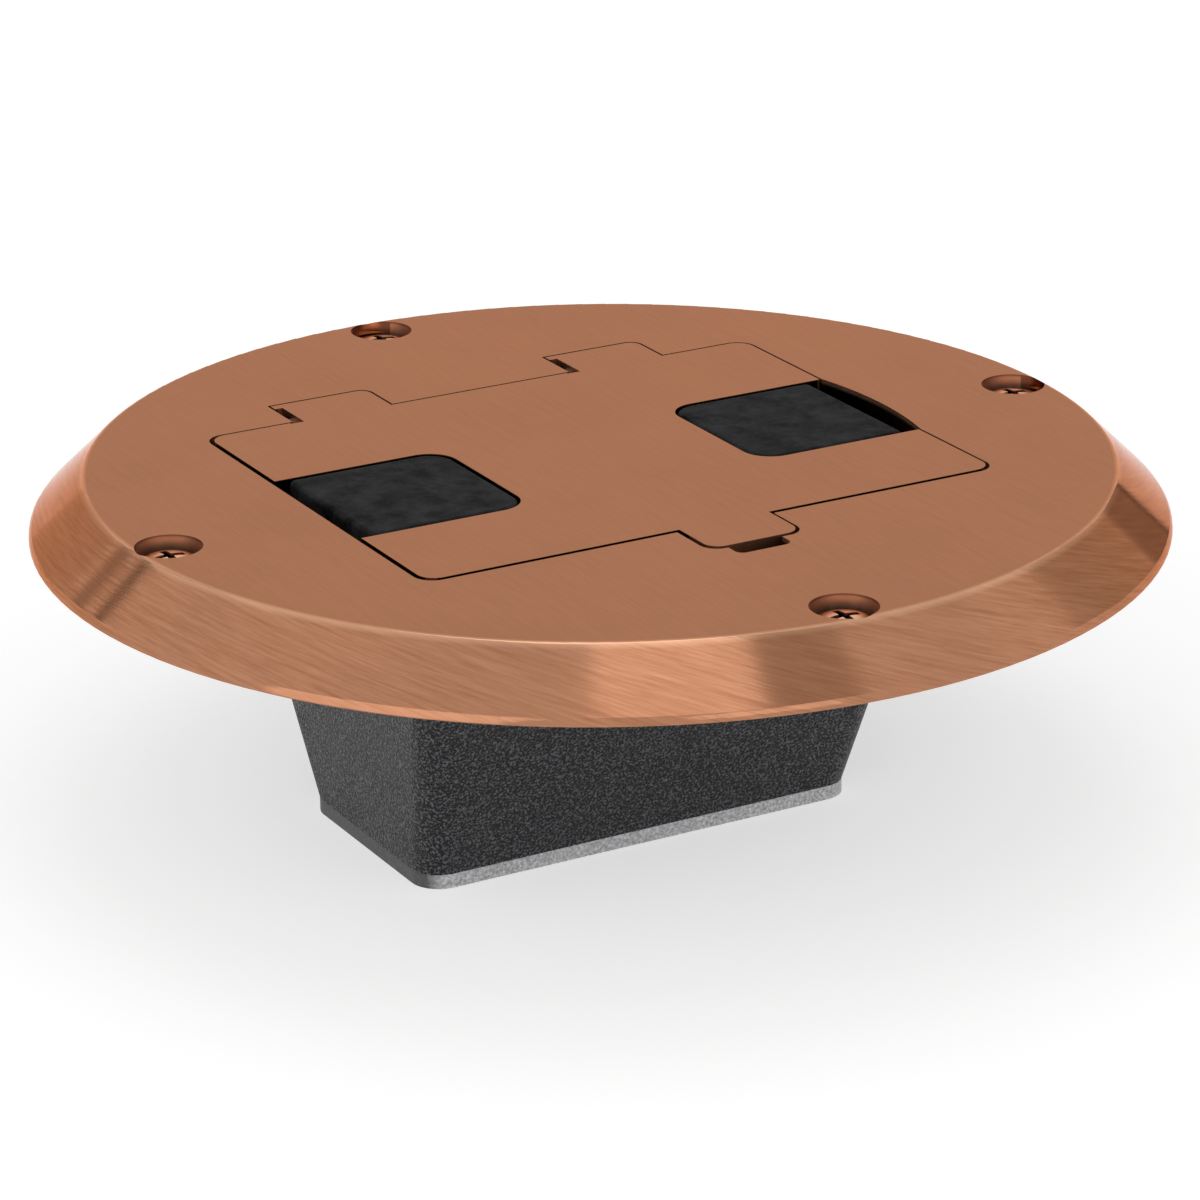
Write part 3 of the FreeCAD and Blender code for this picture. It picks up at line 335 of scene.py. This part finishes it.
# ---- Receptacle body: the dark phenolic back, compression moulded, that holds the contacts.
# Phenolic is brown-black and matt, with pale filler showing in it.
dress(mottled(
    "phenolic_moulding", {"IOR": 1.6}, grain=(0.7, 3.0, 0.7),
    dark=(0.4, "#211D1A"), pale=(0.8, "#4A433C"), rough=(0.42, 0.6),
), "receptacle_body")

# ---- Contacts and live screws: cartridge brass strip, stamped and bent, with turned brass screws.
# Brass is yellow, bright on the worked faces and browner where it has been handled.
dress(mottled(
    "stamped_brass", {"Metallic": 1.0}, grain=(4, 4.0, 0.6),
    dark=(0.3, "#B08D4C"), pale=(0.65, "#D9BC72"), rough=(0.35, 0.22),
), "line_contacts", "neutral_contacts", "line_screws", "ground_strap")

# ---- Ground screw: a steel screw with a green dyed finish, the usual mark of the ground terminal.
# The dye is thin, so the metal shows through a little.
dress(mottled(
    "green_dyed_steel", {"Metallic": 0.7}, grain=(1.5, 3.0, 0.5),
    dark=(0.3, "#1F6B35"), pale=(0.7, "#2F8A4A"), rough=(0.3, 0.45),
), "ground_screw")

# ---- Cover: the cast round flange, copper plated, its flat brushed front to back and its bevel at a slant.
# Walls below the flat carry painted light at first and lower down a dull brown, which is painted shade in the
# hollows and also the dull finish of the underside. In the hinge slots, in the finger notch and beside the
# right doorway they carry near-black painted shade.
BEVEL_WIDTH = 9.1 * MM
FLAT_EDGE = rim - BEVEL_WIDTH
BEVEL_START = FLAT_EDGE - 0.6 * MM
BEVEL_FULL = FLAT_EDGE + 0.2 * MM
RUB_AND_HIGHLIGHT_WIDTH = 0.7 * MM
SHADING_LIMIT = FLAT_EDGE - 1.2 * MM
EDGE_TINT = (0.95, 0.61, 0.49, 1.0)  # tints what the copper reflects at a glancing angle
FLAT_LINES = (repeat(0.4), repeat(9), repeat(4))
BEVEL_LINES = (repeat(11), repeat(11), repeat(0.45))
BEVEL_SLANT = (0.0, math.radians(-18), math.radians(20))


def brushed_colour(tree, place, radius, on_bevel, flat_grain, bevel_grain):
    """The flat's colour and the bevel's, a pale line between them that is partly rubbed wear and partly a
    painted highlight of the rounded edge, and brown clouds.
    """
    flat_tone = add(tree, "ShaderNodeMix", {
        0: flat_grain, COLOUR_1: linear("#9D745C"), COLOUR_2: linear("#A57860"),
    }, data_type="RGBA")
    streaks = add(tree, "ShaderNodeMapRange", {"Value": bevel_grain, "From Min": 0.3, "From Max": 0.7})
    bevel_tone = add(tree, "ShaderNodeMix", {
        0: streaks.outputs[0], COLOUR_1: linear("#A26C4E"), COLOUR_2: linear("#BC8668"),
    }, data_type="RGBA")
    tone = add(tree, "ShaderNodeMix", {
        0: on_bevel, COLOUR_1: flat_tone.outputs[BLEND], COLOUR_2: bevel_tone.outputs[BLEND],
    }, data_type="RGBA")
    # Painted highlight: a pale line along the edge between flat and bevel, which also stands for rubbed wear.
    edge = add(tree, "ShaderNodeMath", {0: radius, 1: BEVEL_FULL}, operation="SUBTRACT")
    away = add(tree, "ShaderNodeMath", {0: edge.outputs[0]}, operation="ABSOLUTE")
    rub_and_highlight = add(tree, "ShaderNodeMapRange", {
        "Value": away.outputs[0],
        "From Min": 0.0, "From Max": RUB_AND_HIGHLIGHT_WIDTH, "To Min": 0.5, "To Max": 0.0,
    })
    rubbed_and_highlit = add(tree, "ShaderNodeMix", {
        0: rub_and_highlight.outputs[0], COLOUR_1: tone.outputs[BLEND], COLOUR_2: linear("#E2B292"),
    }, data_type="RGBA")
    cloud = add(tree, "ShaderNodeTexNoise", {"Vector": place, "Scale": repeat(22), "Detail": 3.0})
    worn = add(tree, "ShaderNodeMapRange", {
        "Value": cloud.outputs["Fac"],
        "From Min": 0.4, "From Max": 0.7, "To Min": 0.0, "To Max": 0.2,
    })
    clouded = add(tree, "ShaderNodeMix", {
        0: worn.outputs[0], COLOUR_1: rubbed_and_highlit.outputs[BLEND], COLOUR_2: linear("#8F6B58"),
    }, data_type="RGBA")
    return clouded.outputs[BLEND]


def painted_depth_shading(tree, place, radius, colour, shading_layers):
    """A colour with painted light and shade laid over it by depth, within the flat only.

    A layer has its area seen from above, the depths in millimetres below the flat where it starts and
    where it is full, and its colour.
    """
    axes = add(tree, "ShaderNodeSeparateXYZ", {"Vector": place})
    inside = add(tree, "ShaderNodeMath", {0: radius, 1: SHADING_LIMIT}, operation="LESS_THAN")
    for (left, right, front, rear), start, full, code in shading_layers:
        part = inside
        for axis, near, far in (("X", left, right), ("Y", front, rear)):
            band = add(tree, "ShaderNodeMath", {
                0: axes.outputs[axis], 1: (near + far) / 2, 2: (far - near) / 2,
            }, operation="COMPARE")
            part = add(tree, "ShaderNodeMath", {
                0: part.outputs[0], 1: band.outputs[0],
            }, operation="MULTIPLY")
        depth = add(tree, "ShaderNodeMapRange", {
            "Value": axes.outputs["Z"],
            "From Min": cad_high.z - start * MM, "From Max": cad_high.z - full * MM,
        })
        amount = add(tree, "ShaderNodeMath", {
            0: part.outputs[0], 1: depth.outputs[0],
        }, operation="MULTIPLY")
        layer = add(tree, "ShaderNodeMix", {
            0: amount.outputs[0], COLOUR_1: colour, COLOUR_2: linear(code),
        }, data_type="RGBA")
        colour = layer.outputs[BLEND]
    return colour


def copper_plate(name, shading_layers):
    """Brushed copper plate with its painted light and shade by depth."""
    made, tree, shader = finish(name, {"Metallic": 1.0, "Specular Tint": EDGE_TINT})
    place = add(tree, "ShaderNodeTexCoord").outputs["Object"]
    level = add(tree, "ShaderNodeVectorMath", {0: place, 1: (1.0, 1.0, 0.0)}, operation="MULTIPLY")
    radius = add(tree, "ShaderNodeVectorMath", {0: level.outputs[0]}, operation="LENGTH").outputs["Value"]
    on_bevel = add(tree, "ShaderNodeMapRange", {
        "Value": radius, "From Min": BEVEL_START, "From Max": BEVEL_FULL,
    }, interpolation_type="SMOOTHSTEP").outputs[0]
    flat_lines = add(tree, "ShaderNodeMapping", {"Vector": place, "Scale": FLAT_LINES})
    flat_grain = add(tree, "ShaderNodeTexNoise", {
        "Vector": flat_lines.outputs[0], "Scale": 1.0, "Detail": 3.0, "Roughness": 0.6,
    }).outputs["Fac"]
    slant = add(tree, "ShaderNodeMapping", {"Vector": place, "Rotation": BEVEL_SLANT})
    bevel_lines = add(tree, "ShaderNodeMapping", {"Vector": slant.outputs[0], "Scale": BEVEL_LINES})
    bevel_grain = add(tree, "ShaderNodeTexNoise", {
        "Vector": bevel_lines.outputs[0], "Scale": 1.0, "Detail": 4.0, "Roughness": 0.7,
    }).outputs["Fac"]
    colour = brushed_colour(tree, place, radius, on_bevel, flat_grain, bevel_grain)
    flat_rough = add(tree, "ShaderNodeMapRange", {
        "Value": flat_grain, "From Min": 0.3, "From Max": 0.7, "To Min": 0.40, "To Max": 0.34,
    })
    bevel_rough = add(tree, "ShaderNodeMapRange", {
        "Value": bevel_grain, "From Min": 0.3, "From Max": 0.7, "To Min": 0.15, "To Max": 0.08,
    })
    rough = add(tree, "ShaderNodeMapRange", {
        "Value": on_bevel, "To Min": flat_rough.outputs[0], "To Max": bevel_rough.outputs[0],
    })
    grain = add(tree, "ShaderNodeMapRange", {"Value": on_bevel, "To Min": flat_grain, "To Max": bevel_grain})
    bite = add(tree, "ShaderNodeMapRange", {"Value": on_bevel, "To Min": 0.05, "To Max": 0.22})
    relief = add(tree, "ShaderNodeBump", {
        "Height": grain.outputs[0], "Strength": bite.outputs[0], "Distance": 0.03 * MM,
    })
    tree.links.new(painted_depth_shading(tree, place, radius, colour, shading_layers), shader.inputs["Base Color"])
    tree.links.new(rough.outputs[0], shader.inputs["Roughness"])
    tree.links.new(relief.outputs["Normal"], shader.inputs["Normal"])
    return made


def around(name, left=0.0, right=0.0, front=0.0, rear=0.0):
    """The area that a piece takes up seen from above, grown on each side by so many millimetres."""
    corners = [corner.co for corner in solid[name].data.vertices]
    return (
        min(corner.x for corner in corners) - left * MM,
        max(corner.x for corner in corners) + right * MM,
        min(corner.y for corner in corners) - front * MM,
        max(corner.y for corner in corners) + rear * MM,
    )


EVERYWHERE = around("flange")
# Colours of the painted light and painted shade on the walls below the flat.
PAINTED_WALL_LIGHT = "#E4B496"
PAINTED_SLOT_SHADE = "#100B09"
NOTCH_RIGHT = 5.2 * MM
tongue_front = around("lid")[2]
# The gasket under the lid has nearly the outline of the lid's plate, without its knuckles and tongue.
seal_left, seal_right, seal_front, seal_rear = around("lid_gasket")
beside_front, beside_rear = around("right_door", front=3.9, rear=3.9)[2:]
beside_doorway = (seal_right - 2.3 * MM, seal_right + 7.7 * MM, beside_front, beside_rear)
notch_wall = (
    NOTCH_RIGHT - 2.2 * MM, NOTCH_RIGHT + 1.0 * MM, tongue_front - 4.8 * MM, tongue_front + 1.2 * MM,
)
# Painted light just under the flat. Near-black painted shade in the hinge slots, beside the right doorway and
# in the notch. Dull brown lower down, which is painted shade in the hollows and the underside's finish.
dress(copper_plate("brushed_copper_plate", (
    (EVERYWHERE, 0.1, 0.5, PAINTED_WALL_LIGHT),
    (around("hinge_pin", left=4, right=4, front=1.4, rear=8), 0.3, 0.6, PAINTED_SLOT_SHADE),
    (EVERYWHERE, 3.4, 5.0, "#80604E"),
    (beside_doorway, 0.3, 1.0, "#1C1410"),
    (notch_wall, 0.3, 1.0, PAINTED_SLOT_SHADE),
)), "flange")

# ---- Lid: the hinged copper-plated cover of the well, brushed in one pass with the flange round it.
# Its left and front edges, its doorways and its knuckles' left sides carry near-black painted shade, the
# shade in the gaps, so that the joint shows there as a line. Lower down, its other walls are painted a duller
# brown as shade, and the same brown is the dull finish of its underside.
PAINTED_EDGE_SHADE = "#080605"
PAINTED_GAP_SHADE = "#0E0A08"
KNUCKLE_SIDES = (-34.9 * MM, 17.2 * MM)
knuckle_front, knuckle_rear = around("hinge_pin", front=4.4, rear=5)[2:]
left_edge = (seal_left - 1.1 * MM, seal_left + 1.1 * MM, seal_front - 1.5 * MM, seal_rear - 3.3 * MM)
front_edge = (seal_left - 8.7 * MM, seal_right + 8.7 * MM, seal_front - 2.4 * MM, seal_front + 0.8 * MM)
# Painted shade: near black in the doorways, on the left and front edges and on the knuckles' left sides, and
# duller brown lower down, which is also the underside's finish.
dress(copper_plate("brushed_copper_lid", (
    (around("left_door", left=2.2, right=1, front=0.5, rear=0.5), 0.03, 0.18, PAINTED_GAP_SHADE),
    (around("right_door", left=1, right=2.2, front=0.5, rear=0.5), 0.03, 0.18, PAINTED_GAP_SHADE),
    (EVERYWHERE, 2.0, 2.4, "#7A5644"),
    (left_edge, 0.0, 0.10, PAINTED_EDGE_SHADE),
    (front_edge, 0.0, 0.10, PAINTED_EDGE_SHADE),
    *(
        ((wall - 1.5 * MM, wall + 0.5 * MM, knuckle_front, knuckle_rear), 0.03, 0.3, PAINTED_GAP_SHADE)
        for wall in KNUCKLE_SIDES
    ),
)), "lid")

# ---- Cover screws: four copper-plated cross-head machine screws in the counterbores of the flange.
# The tops of their heads are painted pale as painted light, and what lies lower carries near-black painted
# shade, which shows the cross recesses.
dress(copper_plate("copper_plated_screw", (
    (EVERYWHERE, 0.1, 0.5, PAINTED_WALL_LIGHT),
    (EVERYWHERE, 1.52, 2.0, "#1A100C"),
)), "cover_screws")

# ---- Cord doors: two black moulded flaps on stub pins in the lid, which lift to let the cords out.
# They are satin polycarbonate, a little mottled by handling. Their reflections are turned nearly off, to keep
# them as dark as they look.
dress(mottled(
    "satin_black_polycarbonate", {"IOR": 1.5, "Specular IOR Level": 0.02}, grain=(5, 6.0, 0.7),
    dark=(0.35, "#040405"), pale=(0.75, "#363638"), rough=(0.45, 0.7),
), "left_door", "right_door")
